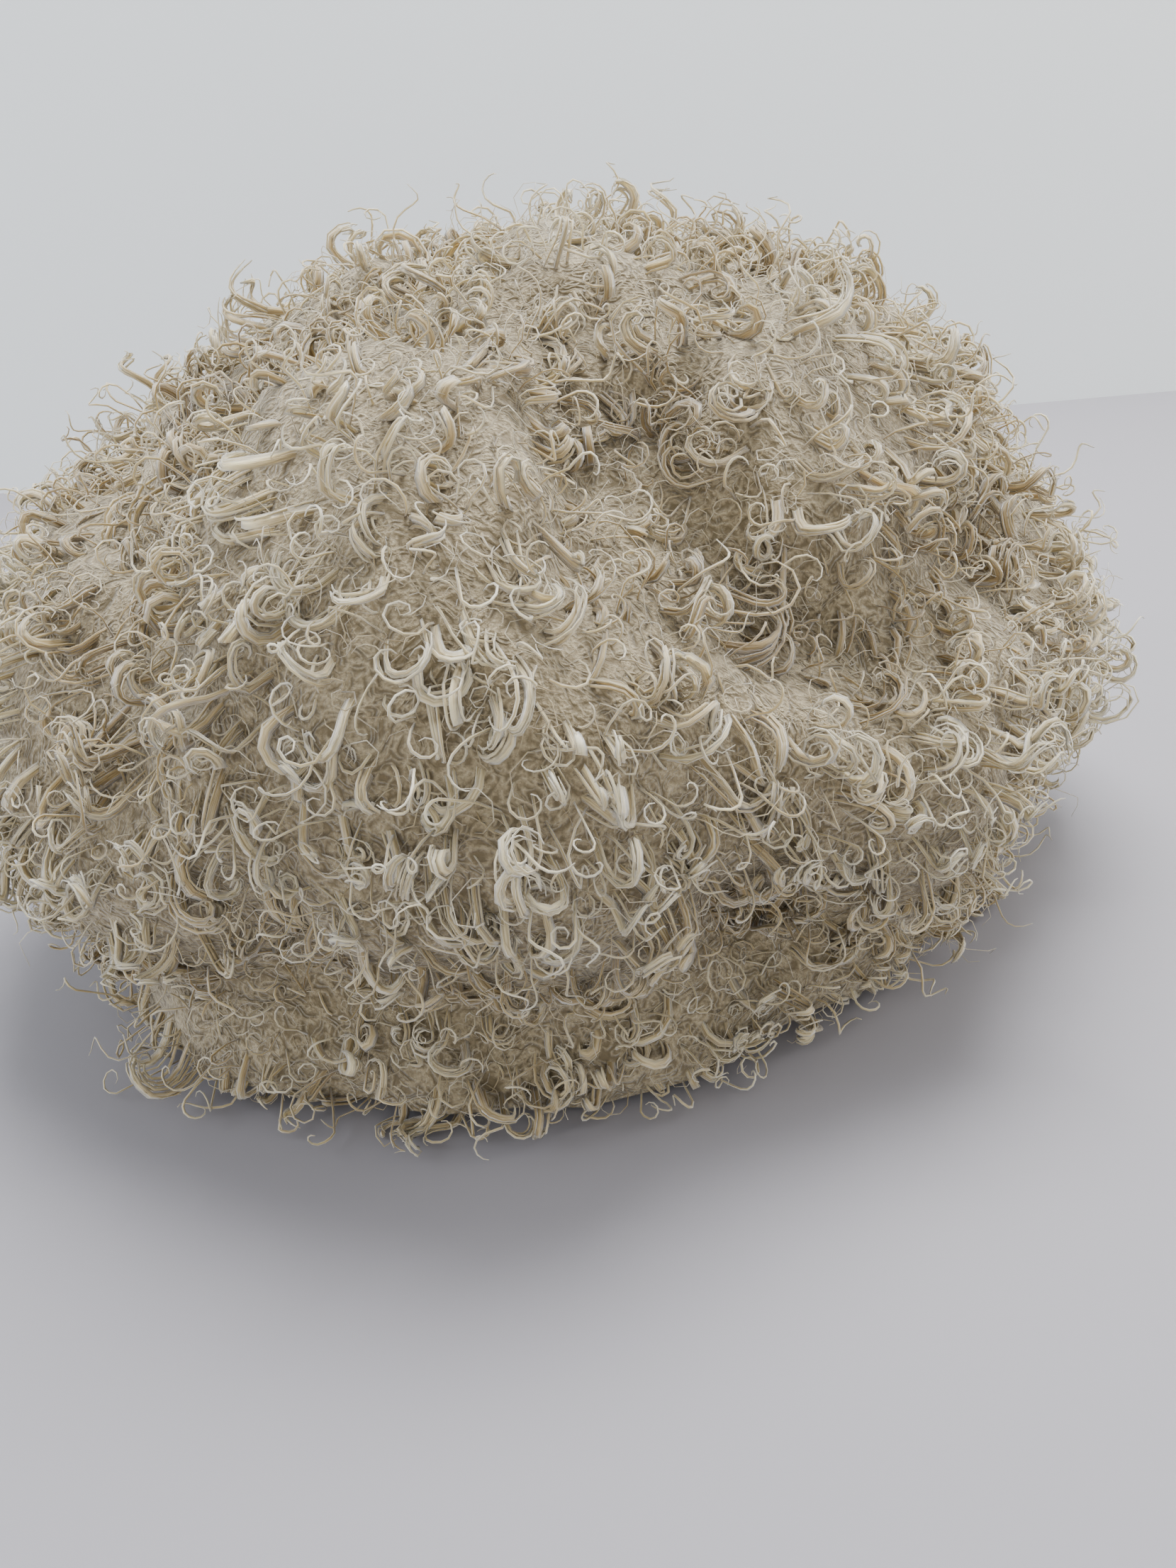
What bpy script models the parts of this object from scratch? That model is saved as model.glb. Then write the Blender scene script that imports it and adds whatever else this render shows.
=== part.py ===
"""Turkmen telpek hat: a sheepskin band and a domed sheepskin top, sewn wool side out.

Metres, +Z up. The hat stands on its rim at z = 0, with its front towards -Y.
A point on the sheepskin is given by its azimuth (0 = right, 90 degrees = back) and by its
place: 0 at the rim, 1 at the seam between band and top, 2 at the middle of the top.
"""
import math
import random

import bmesh
import bpy
import numpy as np

MM = 0.001

# Sheepskin, seen from its bare side
opening_width = 176 * MM
opening_depth = 200 * MM
hide_wall = 2.5 * MM
side_height = 104 * MM
crown_width = 238 * MM
crown_depth = 228 * MM
crown_rise = 58 * MM
crown_shift_x = -8 * MM
crown_shift_y = 2 * MM

# Wool
undercoat_depth = 12 * MM
fleece_depth = 50 * MM
hem_height = 26 * MM
hem_reach = 38 * MM
hem_tip_height = 3 * MM

# Clearances
piece_gap = 0.3 * MM
floor_gap = 0.8 * MM

# Locks: so many across the top, four times as many round the band, in rows above the fringe
locks_across = 10
side_rows = 5
CURL_SEED = 7

HIDE_COLOUR = (0.42, 0.33, 0.24)
HIDE_ROUGHNESS = 0.85
WOOL_COLOUR = (0.66, 0.61, 0.51)
WOOL_ROUGHNESS = 0.9

# Places up to which the rim keeps its oval clear of folds, and its wall upright
RIM_FADE = 0.4
RIM_UPRIGHT = 0.1

# Steps in place and in azimuth over which the sheepskin's slopes are measured
COMB_STEP = 0.01
SLOPE_STEP = 0.004

# Points along each fold from which its distance is measured
FOLD_POINTS = 9

# Sheepskin from rim to middle: place, share of side_height, share of the flare from rim to
# crown outline, share of that outline that is left, share of crown_rise
SKIN_SECTIONS = (
    (0.00, 0.00, 0.00, 1.00, 0.00),
    (0.25, 0.25, 0.40, 1.00, 0.00),
    (0.50, 0.50, 0.80, 1.00, 0.00),
    (0.75, 0.76, 1.02, 1.00, 0.00),
    (1.00, 0.97, 1.00, 0.97, 0.05),
    (1.20, 1.00, 1.00, 0.84, 0.38),
    (1.45, 1.00, 1.00, 0.60, 0.74),
    (1.75, 1.00, 1.00, 0.28, 0.96),
    (2.00, 1.00, 1.00, 0.00, 1.00),
)

# Locks: place, length as a share of fleece_depth, droop as a share of the length
LOCK_SECTIONS = (
    (0.25, 0.40, -0.10),
    (0.42, 0.62, 0.05),
    (0.60, 0.86, 0.22),
    (0.80, 0.96, 0.34),
    (1.10, 0.94, 0.38),
    (1.50, 0.88, 0.38),
    (2.00, 0.86, 0.12),
)

# Fringe: azimuth in degrees, reach as a share of hem_reach
HEM_SECTIONS = (
    (-180, 1.75),
    (-150, 1.90),
    (-132, 1.60),
    (-110, 1.10),
    (-85, 0.85),
    (-45, 0.60),
    (-10, 1.10),
    (20, 1.35),
    (90, 1.15),
    (180, 1.75),
)

# Along each lock: share of its length, thickness as a share of its root
LOCK_RINGS = (
    (0.45, 0.78),
    (0.82, 0.44),
)

# A lock that slants away from its root face is thinner, so that it clears its neighbours
SLANT_ROOM = 1.2

# Chance in the locks: spread of their length and of their droop, and their sway to a side
LENGTH_SPREAD = 0.1
HEM_LENGTH_SPREAD = 0.15
DROOP_SPREAD = 0.15
SWAY = 0.08

# Share of its length by which a lock curls back towards its root
CURL_BACK = 0.1

# Folds: name, azimuth in degrees and place of one end, then of the other, width as a share of
# crown_width, depth as a share of fleece_depth. A negative depth is a swelling.
FOLDS = (
    ("top of right valley", -70, 1.60, -76, 1.22, 0.11, 0.34),
    ("right valley", -76, 1.24, -52, 1.03, 0.13, 0.66),
    ("end of right valley", -52, 1.03, -24, 1.06, 0.12, 0.52),
    ("left valley", 200, 1.62, 228, 0.95, 0.10, 0.30),
    ("lower left valley", 228, 0.95, 238, 0.45, 0.10, 0.25),
    ("front right groove", -75, 0.85, -68, 0.35, 0.08, 0.40),
    ("near ridge", -95, 1.10, -68, 0.88, 0.10, -0.20),
    ("left lobe", 188, 0.64, 222, 0.46, 0.17, -0.66),
    ("right lobe", -48, 0.75, -40, 0.50, 0.12, -0.20),
    ("far right lobe", 2, 0.52, 14, 0.46, 0.12, -0.72),
    ("left shoulder", 165, 1.25, 210, 1.20, 0.18, 0.18),
)


def smooth_value(place, rows, column):
    """Read a column of a section table along a smooth curve through its rows."""
    places = np.array([row[0] for row in rows])
    values = np.array([row[column] for row in rows])
    slopes = np.gradient(values, places)
    place = np.clip(place, places[0], places[-1])
    index = np.clip(np.searchsorted(places, place, side="right") - 1, 0, len(places) - 2)
    span = places[index + 1] - places[index]
    t = (place - places[index]) / span
    near = (2 * t**3 - 3 * t**2 + 1) * values[index] + (t**3 - 2 * t**2 + t) * span * slopes[index]
    far = (3 * t**2 - 2 * t**3) * values[index + 1] + (t**3 - t**2) * span * slopes[index + 1]
    return near + far


def unfolded(azimuth, place):
    """Outer face of the sheepskin before it is dented."""
    height, flare, outline, rise = (smooth_value(place, SKIN_SECTIONS, column) for column in (1, 2, 3, 4))
    rim_x = opening_width / 2 + hide_wall
    rim_y = opening_depth / 2 + hide_wall
    half_x = (rim_x + (crown_width / 2 - rim_x) * flare) * outline
    half_y = (rim_y + (crown_depth / 2 - rim_y) * flare) * outline
    return np.stack((
        half_x * np.cos(azimuth) + crown_shift_x * height**2,
        half_y * np.sin(azimuth) + crown_shift_y * height**2,
        side_height * height + crown_rise * rise,
    ), axis=-1)


def distance_to_line(points, line):
    """Distance of each point from the nearest stretch of a line of points."""
    start = line[:-1]
    stretch = line[1:] - start
    offset = points[..., None, :] - start
    share = (offset * stretch).sum(axis=-1) / (stretch**2).sum(axis=-1)
    nearest = stretch * np.clip(share, 0, 1)[..., None]
    return np.linalg.norm(offset - nearest, axis=-1).min(axis=-1)


def fold_depth(points):
    """Depth of the folds at points of the unfolded sheepskin. Where valleys or swellings meet,
    the strongest one holds."""
    steps = np.linspace(0, 1, FOLD_POINTS)
    dent = np.zeros(points.shape[:-1])
    swelling = np.zeros(points.shape[:-1])
    for _, azimuth_a, place_a, azimuth_b, place_b, width, share in FOLDS:
        azimuth = np.radians(azimuth_a + (azimuth_b - azimuth_a) * steps)
        line = unfolded(azimuth, place_a + (place_b - place_a) * steps)
        distance = distance_to_line(points, line)
        depth = share * fleece_depth * np.exp(-(distance / (width * crown_width)) ** 2)
        dent = np.maximum(dent, depth)
        swelling = np.minimum(swelling, depth)
    return dent + swelling


def outward(points):
    """Directions away from the middle of the hat."""
    away = points - np.array((0, 0, side_height / 2))
    return away / np.linalg.norm(away, axis=-1, keepdims=True)


def sheepskin(azimuth, place):
    """Outer face of the sheepskin. Folds press it towards the middle and fade out at the rim."""
    points = unfolded(azimuth, place)
    fade = np.clip(place / RIM_FADE, 0, 1)
    fade = fade * fade * (3 - 2 * fade)
    return points - outward(points) * (fold_depth(points) * fade)[..., None]


def combed(azimuth, place):
    """The way that the wool is combed: down the unfolded sheepskin towards the rim."""
    place = np.clip(place, COMB_STEP, 2 - COMB_STEP)
    down = unfolded(azimuth, place - COMB_STEP) - unfolded(azimuth, place + COMB_STEP)
    return down / np.linalg.norm(down, axis=-1, keepdims=True)


def layer(azimuth, place, depth):
    """The sheepskin's face moved out by a depth, level at the rim so that the rim stays flat."""
    inside = np.clip(place, SLOPE_STEP, 2 - 2 * SLOPE_STEP)
    along = sheepskin(azimuth, inside + SLOPE_STEP) - sheepskin(azimuth, inside - SLOPE_STEP)
    around = sheepskin(azimuth + SLOPE_STEP, inside) - sheepskin(azimuth - SLOPE_STEP, inside)
    normal = np.cross(around, along)
    normal /= np.linalg.norm(normal, axis=-1, keepdims=True)
    normal[..., 2] *= np.clip(place / RIM_UPRIGHT, 0, 1)
    normal /= np.linalg.norm(normal, axis=-1, keepdims=True)
    return sheepskin(azimuth, place) + normal * depth


def band_grid(places):
    """Azimuths, places and quads of a closed ring of cells."""
    columns = 4 * locks_across
    turn = np.radians(-45) + np.arange(columns) * math.tau / columns
    azimuth, place = np.meshgrid(turn, places)
    quads = []
    for row in range(len(places) - 1):
        for column in range(columns):
            after = (column + 1) % columns
            start = row * columns
            quads.append((start + column, start + after, start + columns + after, start + columns + column))
    return azimuth.ravel(), place.ravel(), quads


def disc_grid(edge_place):
    """Azimuths, places and quads of a square grid that is rounded to a disc."""
    steps = np.linspace(-1, 1, locks_across + 1)
    across, back = np.meshgrid(steps, steps)
    across = across.ravel()
    back = back.ravel()
    ring = np.maximum(np.abs(across), np.abs(back))
    ratio = np.minimum(np.abs(across), np.abs(back)) / np.maximum(ring, 1e-9)
    eighth = math.pi / 4 * ratio
    corner = np.where(np.abs(across) >= np.abs(back), eighth, math.pi / 2 - eighth)
    azimuth = np.arctan2(np.sin(corner) * np.sign(back), np.cos(corner) * np.sign(across))
    quads = []
    side = locks_across + 1
    for row in range(locks_across):
        for column in range(locks_across):
            start = row * side + column
            quads.append((start, start + 1, start + side + 1, start + side))
    return azimuth, 2 - ring * (2 - edge_place), quads


def border_edges(quads):
    """Directed edges that only one quad uses."""
    edges = [(quad[i], quad[(i + 1) % 4]) for quad in quads for i in range(4)]
    known = set(edges)
    return [(a, b) for a, b in edges if (b, a) not in known]


def closed_shell(outer, inner, quads):
    """A bmesh of two layers joined round their borders. The outer quads are its first faces."""
    mesh = bmesh.new()
    count = len(outer)
    corners = [mesh.verts.new(point) for point in np.concatenate((outer, inner))]
    outer_faces = [mesh.faces.new([corners[i] for i in quad]) for quad in quads]
    for quad in quads:
        mesh.faces.new([corners[i + count] for i in reversed(quad)])
    for a, b in border_edges(quads):
        mesh.faces.new((corners[b], corners[a], corners[a + count], corners[b + count]))
    return mesh, outer_faces


def add_piece(name, mesh, material):
    """Make a mesh object from a bmesh."""
    data = bpy.data.meshes.new(name)
    bmesh.ops.triangulate(mesh, faces=mesh.faces[:])
    mesh.to_mesh(data)
    mesh.free()
    data.materials.append(material)
    piece = bpy.data.objects.new(name, data)
    bpy.context.collection.objects.link(piece)
    return piece


def add_material(name, colour, roughness):
    """Make a plain material of one colour."""
    material = bpy.data.materials.new(name)
    material.use_nodes = True
    shader = material.node_tree.nodes["Principled BSDF"]
    shader.inputs["Base Color"].default_value = (*colour, 1)
    shader.inputs["Roughness"].default_value = roughness
    shader.inputs["Metallic"].default_value = 0
    return material


def turned(offsets, normal, heading):
    """Turn offsets that lie across a normal so that they lie across a heading."""
    axis = np.cross(normal, heading)
    sine = np.linalg.norm(axis)
    if sine < 1e-6:
        return offsets
    axis /= sine
    cosine = float(normal @ heading)
    dots = (offsets @ axis)[:, None]
    return offsets * cosine + np.cross(axis, offsets) * sine + axis * dots * (1 - cosine)


def grow_lock(mesh, face, aim):
    """Draw a face out into a tapered lock. The aim gives, for a share of the lock's length,
    the shift of its middle and the way that it heads there."""
    root = np.array([corner.co for corner in face.verts])
    middle = root.mean(axis=0)
    face.normal_update()
    normal = np.array(face.normal)
    _, start = aim(0.0)
    for share, thickness in LOCK_RINGS:
        face = bmesh.ops.extrude_discrete_faces(mesh, faces=[face])["faces"][0]
        shift, heading = aim(share)
        thickness *= min(1.0, SLANT_ROOM * max(0.0, float(normal @ heading)))
        ring = middle + shift + turned(root - middle, start, heading) * thickness
        ring[:, 2] = np.maximum(ring[:, 2], floor_gap)
        for corner, point in zip(face.verts, ring):
            corner.co = point
    tip = bmesh.ops.poke(mesh, faces=[face])["verts"][0]
    tip.co = middle + aim(1.0)[0]
    tip.co.z = max(tip.co.z, floor_gap)


def curved_aim(start, bend, length):
    """A lock that sets out in one direction and bends over into another."""

    def aim(share):
        shift = (start * share + bend * share**2) * length
        heading = start + 2 * bend * share
        return shift, heading / np.linalg.norm(heading)

    return aim


def middle_azimuth(azimuths):
    """Middle of a few azimuths, also across the half turn where they change sign."""
    return math.atan2(np.sin(azimuths).sum(), np.cos(azimuths).sum())


def fleece_aims(grid, draws):
    """Aims of the locks on a grid of cells, from the section table and a little chance."""
    azimuth, place, quads = grid
    aims = []
    for quad in quads:
        cell = list(quad)
        middle_place = place[cell].mean()
        turn = middle_azimuth(azimuth[cell])
        comb = combed(turn, middle_place)
        start = outward(sheepskin(turn, middle_place))
        side = np.cross(start, comb)
        length = float(smooth_value(middle_place, LOCK_SECTIONS, 1)) * fleece_depth
        droop = float(smooth_value(middle_place, LOCK_SECTIONS, 2))
        length = (length - undercoat_depth) * (1 + draws.uniform(-LENGTH_SPREAD, LENGTH_SPREAD))
        droop *= 1 + draws.uniform(-DROOP_SPREAD, DROOP_SPREAD)
        bend = comb * droop + side * draws.uniform(-SWAY, SWAY) - start * CURL_BACK
        aims.append(curved_aim(start, bend, length))
    return aims


def hem_aims(grid, draws):
    """Aims of the fringe: outwards, and down onto what the hat stands on."""
    azimuth, _, quads = grid
    aims = []
    for quad in quads:
        cell = list(quad)
        turn = middle_azimuth(azimuth[cell])
        start = np.array((math.cos(turn), math.sin(turn), 0.0))
        reach = float(smooth_value(math.degrees(turn), HEM_SECTIONS, 1)) * hem_reach
        length = (reach - undercoat_depth) * (1 + draws.uniform(-HEM_LENGTH_SPREAD, HEM_LENGTH_SPREAD))
        bend = np.array((0, 0, (hem_tip_height - hem_height / 2) / length))
        aims.append(curved_aim(start, bend, length))
    return aims


def add_fleece(name, grid, aims):
    """Wool round the sheepskin: a felted backing that stands clear of it, drawn out into locks."""
    azimuth, place, quads = grid
    outer = layer(azimuth, place, undercoat_depth)
    inner = layer(azimuth, place, piece_gap)
    mesh, faces = closed_shell(outer, inner, quads)
    for face, aim in zip(faces, aims):
        grow_lock(mesh, face, aim)
    return add_piece(name, mesh, wool_material)


def add_hide(name, grid):
    """A panel of sheepskin, its wall measured inwards from the side that carries the wool."""
    azimuth, place, quads = grid
    mesh, _ = closed_shell(layer(azimuth, place, 0), layer(azimuth, place, -hide_wall), quads)
    return add_piece(name, mesh, hide_material)


for old in list(bpy.data.objects):
    bpy.data.objects.remove(old)

hide_material = add_material("sheepskin hide", HIDE_COLOUR, HIDE_ROUGHNESS)
wool_material = add_material("curly ram wool", WOOL_COLOUR, WOOL_ROUGHNESS)
draws = random.Random(CURL_SEED)

# The gaps at the shoulder seam and above the fringe, half on each side, as places
half_gap = piece_gap / 2 / side_height
hem_place = hem_height / side_height
side_places = np.linspace(hem_place, 1, side_rows + 1)
side_places[0] += half_gap
side_places[-1] -= half_gap
hem_places = np.array((floor_gap / side_height, hem_place - half_gap))
hide_places = np.concatenate(((0.0, hem_places[0], hem_place), side_places[1:]))

side_grid = band_grid(side_places)
hem_grid = band_grid(hem_places)
top_grid = disc_grid(1 + half_gap)
pieces = [
    add_hide("side_hide", band_grid(hide_places)),
    add_hide("crown_hide", top_grid),
    add_fleece("crown_fleece", top_grid, fleece_aims(top_grid, draws)),
    add_fleece("side_fleece", side_grid, fleece_aims(side_grid, draws)),
    add_fleece("hem_fleece", hem_grid, hem_aims(hem_grid, draws)),
]

# The origin lies under the middle of the whole hat
corners = np.array([corner.co for piece in pieces for corner in piece.data.vertices])
middle = (corners.min(axis=0) + corners.max(axis=0)) / 2
for piece in pieces:
    piece.location = (-middle[0], -middle[1], 0)
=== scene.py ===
# %% [markdown]
# # A telpek: a tall sheepskin hat with its wool on the outside
# A telpek is sewn from two panels of sheepskin, a band and a top, with the fleece outwards.
# The wool hides everything else. The frame holds the two panels at their real size, and the
# fleece as plain tapered locks. This script keeps the form of those locks and grows real wool
# in their place: a dense underwool, and over it some two thousand locks of curled strands.

# %% Load the frame
import math

import bmesh
import bpy
import numpy as np
from mathutils import Matrix, Vector
from mathutils.bvhtree import BVHTree


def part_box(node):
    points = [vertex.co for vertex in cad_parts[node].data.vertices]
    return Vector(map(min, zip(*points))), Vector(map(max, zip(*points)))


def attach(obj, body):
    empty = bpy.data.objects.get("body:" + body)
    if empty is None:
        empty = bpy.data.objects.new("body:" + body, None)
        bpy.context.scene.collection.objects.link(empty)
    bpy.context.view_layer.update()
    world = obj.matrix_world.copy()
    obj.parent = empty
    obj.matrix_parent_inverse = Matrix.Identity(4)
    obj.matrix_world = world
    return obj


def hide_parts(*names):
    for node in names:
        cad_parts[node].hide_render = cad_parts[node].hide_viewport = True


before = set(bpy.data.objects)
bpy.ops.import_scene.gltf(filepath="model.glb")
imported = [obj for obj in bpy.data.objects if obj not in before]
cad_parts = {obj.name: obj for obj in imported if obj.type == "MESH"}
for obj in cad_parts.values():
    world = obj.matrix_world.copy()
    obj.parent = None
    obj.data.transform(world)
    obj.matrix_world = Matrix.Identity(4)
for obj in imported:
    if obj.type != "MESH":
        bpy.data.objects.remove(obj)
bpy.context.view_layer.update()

MM = 0.001
BODY = "root"
FLEECES = ("crown_fleece", "side_fleece", "hem_fleece")
HIDES = ("crown_hide", "side_hide")
for name in sorted(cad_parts):
    low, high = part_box(name)
    print(name, "is", [round((b - a) / MM) for a, b in zip(low, high)], "mm")

# %% [markdown]
# ## The form of the wool
# Each plain lock ends in a tip. Seen from the middle of the hat, the tips say how far the wool
# stands out in every direction, so a weighted mean of the tips near a direction gives a smooth
# skin over them. It could also be had with a voxel remesh, but a formula can be asked for any
# direction, for the underwool and for the root of each curl.

# %% Measure the locks
low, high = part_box("side_hide")
middle = np.array((low + high) / 2)


def welded(node):
    """A bmesh copy of a CAD node with its loose triangles merged."""
    mesh = bmesh.new()
    mesh.from_mesh(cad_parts[node].data)
    bmesh.ops.remove_doubles(mesh, verts=mesh.verts[:], dist=0.01 * MM)
    return mesh


def lock_tips(node):
    """Corners that lie further out than all their neighbours."""
    mesh = welded(node)
    reach = {corner: np.linalg.norm(np.array(corner.co) - middle) for corner in mesh.verts}
    tips = []
    for corner in mesh.verts:
        if all(reach[edge.other_vert(corner)] < reach[corner] for edge in corner.link_edges):
            tips.append(np.array(corner.co))
    mesh.free()
    return tips


tips = np.array([tip for node in FLEECES for tip in lock_tips(node)]) - middle
tip_reach = np.linalg.norm(tips, axis=1)
tip_ways = tips / tip_reach[:, None]
nearest, farthest = tip_reach.min() / MM, tip_reach.max() / MM
print(len(tips), "locks reach", round(nearest), "to", round(farthest), "mm")

# %% Rim, hem and seam
AT_RIM = 0.1 * MM               # corners of the skin below this height belong to the rim
RIM_SLOPE = math.radians(-30)   # of the hem's lower edge, before it is drawn to the rim
EDGE_ROOM = math.radians(0.4)   # between the rim's outer edge and the wool
SEAM_LIFT = 30 * MM             # above the top panel's lowest edge, where its wool begins
rim = np.array([v.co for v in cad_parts["side_hide"].data.vertices if v.co.z < AT_RIM])
rim_middle = (rim.min(axis=0) + rim.max(axis=0)) / 2 - middle
rim_half = (rim.max(axis=0) - rim.min(axis=0))[:2] / 2
hem_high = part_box("hem_fleece")[1]
crown_low, crown_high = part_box("crown_hide")
HEM_SLOPE = math.atan2(hem_high.z - middle[2], rim_half.mean())
SEAM_SLOPE = math.atan2(crown_low.z + SEAM_LIFT - middle[2], (crown_high.x - crown_low.x) / 2)
print("rim is", np.round(rim_half * 2 / MM), "mm")
print("the seam lies", round(math.degrees(SEAM_SLOPE)), "degrees up,",
      "the hem's top", round(math.degrees(HEM_SLOPE)))

# %% Skin and wool along any direction
TIP_BLUR = math.radians(4.2)    # about half the angle between two locks
WIDE_BLUR = math.radians(14)    # wider than the folds of the hat
HEM_FADE = math.radians(14)     # over which the folds grow deep above the hem
FOLD_DEPTH = 2.5                # how many times as deep as the tips the locks fall into the folds
FAR = 0.4                       # metres, outside the hat on every side
SEAM_TILTS = (0, 0.01, -0.01, 0.03, 0.06, 0.1)     # tried in turn, up or down
skin_trees = [BVHTree.FromBMesh(welded(node)) for node in HIDES]


def mean_reach(ways, blur):
    """The mean reach of the tips round each unit vector, the nearest ones counting most."""
    weights = np.exp((ways @ tip_ways.T - 1) / blur**2)
    return weights @ tip_reach / weights.sum(axis=1)


def relief(ways):
    """How far the folds stand out of the hat's round form, or below zero how deep they lie."""
    return mean_reach(ways, TIP_BLUR) - mean_reach(ways, WIDE_BLUR)


def above_hem(ways):
    """0 in the hem and 1 above it, with an even change between them."""
    return np.clip((np.arcsin(ways[:, 2].clip(-1, 1)) - HEM_SLOPE) / HEM_FADE, 0, 1)


def wool_reach(ways):
    """How far the curls reach from the middle of the hat, along unit vectors."""
    deeper = np.minimum(relief(ways), 0) * (FOLD_DEPTH - 1) * above_hem(ways)
    return mean_reach(ways, WIDE_BLUR) + relief(ways) + deeper


def skin_reach(ways):
    """How far out the sheepskin's outer face lies, along unit vectors. A ray that slips through
    the seam between the panels is tilted until it meets one of them."""
    reach = np.zeros(len(ways))
    for i, way in enumerate(ways):
        for tilt in SEAM_TILTS:
            aim = Vector(way + (0, 0, tilt)).normalized()
            start = Vector(middle) + aim * FAR
            hits = [tree.ray_cast(start, -aim, FAR) for tree in skin_trees]
            reach[i] = max(FAR - hit[3] if hit[0] is not None else 0 for hit in hits)
            if reach[i] > 0:
                break
    return reach


# %% [markdown]
# ## The two panels of sheepskin
# Inside, the hat shows the flesh side of the skin, a matt suede. The panels keep the form and
# the size of the frame's solids. Each is a copy with its loose triangles merged, so that it can
# be shaded as one bent sheet.

# %% Sheepskin
SKIN_EDGE = math.radians(45)    # sharper edges of the skin, where it is cut, stay sharp


def panel(name, node):
    """A merged copy of a CAD node, shaded smooth up to its cut edges."""
    merged = welded(node)
    mesh = bpy.data.meshes.new(name)
    merged.to_mesh(mesh)
    merged.free()
    piece = bpy.data.objects.new(name, mesh)
    bpy.context.scene.collection.objects.link(piece)
    bpy.ops.object.select_all(action="DESELECT")
    piece.select_set(True)
    bpy.context.view_layer.objects.active = piece
    bpy.ops.object.shade_smooth_by_angle(angle=SKIN_EDGE)
    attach(piece, BODY)
    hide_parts(node)
    print(name, "has", len(mesh.polygons), "faces")
    return piece


panels = [panel("crown_skin", "crown_hide"), panel("side_skin", "side_hide")]

# %% [markdown]
# ## Underwool
# Between the curls a fleece shows a dense, matt layer of fine felted wool. It fills two thirds
# of the depth of the wool, stands clear of the skin inside, and lies flat on the table below.
# Each ring starts as a band of a round ball with a thickness. Its corners are then drawn out to
# the wool and in to the skin, which keeps it closed and its faces even.

# %% Underwool in three rings
UNDERWOOL_SHARE = 0.68   # of the wool's depth
LEAST_WOOL = 9 * MM      # deep, so that the folds don't cut into the skin
SKIN_GAP = 0.5 * MM      # between the skin and the wool
TABLE_GAP = 1.2 * MM
PRESSED = 0.2 * MM       # above the table, where it flattens the lowest strands
SHELL = 0.1              # thickness of the ball before its corners are drawn out and in
LUMP, LUMP_WAVE = 0.07, 0.055       # share of the wool's depth, and radians, of its lumps
AROUND, UP_AND_DOWN = 120, 66       # faces of the ball
TOP = math.pi / 2        # straight up: a ring that reaches it keeps its pole
WOOL_EDGE = math.radians(50)


def slow_waves(points, wave):
    """A smooth number from about -1 to 1 that drifts over the hat. Its odd factors are free: they
    only keep the waves from repeating."""
    x, y, z = (points / wave).T
    bent_x = np.sin(x + 2 * np.sin(0.7 * y + 1))
    bent_y = np.sin(1.3 * y - 1.7 * np.cos(0.8 * z))
    return (bent_x + bent_y + np.sin(1.1 * z + x)) / 3


def rim_slope(turn):
    """Slope from the middle of the hat down to the outer edge of the rim, for each azimuth."""
    edge = rim_half * np.stack((np.cos(turn), np.sin(turn)), axis=-1) + rim_middle[:2]
    return np.arctan2(-middle[2], np.linalg.norm(edge, axis=-1))


def underwool_reach(ways):
    """How far out the face of the underwool lies. On the table it is cut flat."""
    skin = skin_reach(ways)
    lumps = LUMP * slow_waves(ways, LUMP_WAVE)
    reach = skin + np.maximum((wool_reach(ways) - skin) * (UNDERWOOL_SHARE + lumps), LEAST_WOOL)
    fall = np.maximum(-ways[:, 2], 1e-6)
    return np.minimum(reach, (middle[2] - TABLE_GAP) / fall)


def underwool(name, node, lowest, highest):
    """A ring of a round ball, given a thickness, then drawn to the wool and to the skin."""
    bpy.ops.object.select_all(action="DESELECT")
    bpy.ops.mesh.primitive_uv_sphere_add(segments=AROUND, ring_count=UP_AND_DOWN, radius=1)
    piece = bpy.context.object
    piece.name = name
    bpy.ops.object.mode_set(mode="EDIT")
    for slope, keep in ((lowest, 1), (highest, -1)):
        if slope >= TOP:
            continue
        bpy.ops.mesh.select_all(action="SELECT")
        height = math.sin(slope)
        bpy.ops.mesh.bisect(plane_co=(0, 0, height), plane_no=(0, 0, keep), clear_inner=True)
    bpy.ops.object.mode_set(mode="OBJECT")
    solid = piece.modifiers.new("thickness", "SOLIDIFY")
    solid.thickness = SHELL
    solid.offset = -1
    bpy.ops.object.modifier_apply(modifier=solid.name)
    points = np.array([v.co for v in piece.data.vertices])
    size = np.linalg.norm(points, axis=1)
    outside = size > 1 - SHELL / 2
    turn = np.arctan2(points[:, 1], points[:, 0])
    slope = np.arcsin(np.clip(points[:, 2] / size, -1, 1))
    below = np.clip((slope - HEM_SLOPE) / (RIM_SLOPE - HEM_SLOPE), 0, 1)
    to_rim = HEM_SLOPE + (rim_slope(turn) + EDGE_ROOM - HEM_SLOPE) * below
    slope = np.where(slope < HEM_SLOPE, to_rim, slope)
    flat = np.cos(slope)
    ways = np.stack((flat * np.cos(turn), flat * np.sin(turn), np.sin(slope)), axis=-1)
    reach = np.where(outside, underwool_reach(ways), skin_reach(ways) + SKIN_GAP)
    piece.data.vertices.foreach_set("co", (middle + ways * reach[:, None]).ravel())
    piece.data.update()
    bpy.ops.object.shade_smooth_by_angle(angle=WOOL_EDGE)
    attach(piece, BODY)
    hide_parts(node)
    print(name, "has", len(piece.data.polygons), "faces")
    return piece


underwools = [
    underwool("crown_underwool", "crown_fleece", SEAM_SLOPE, TOP),
    underwool("side_underwool", "side_fleece", HEM_SLOPE, SEAM_SLOPE),
    underwool("hem_underwool", "hem_fleece", RIM_SLOPE, HEM_SLOPE),
]

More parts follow.
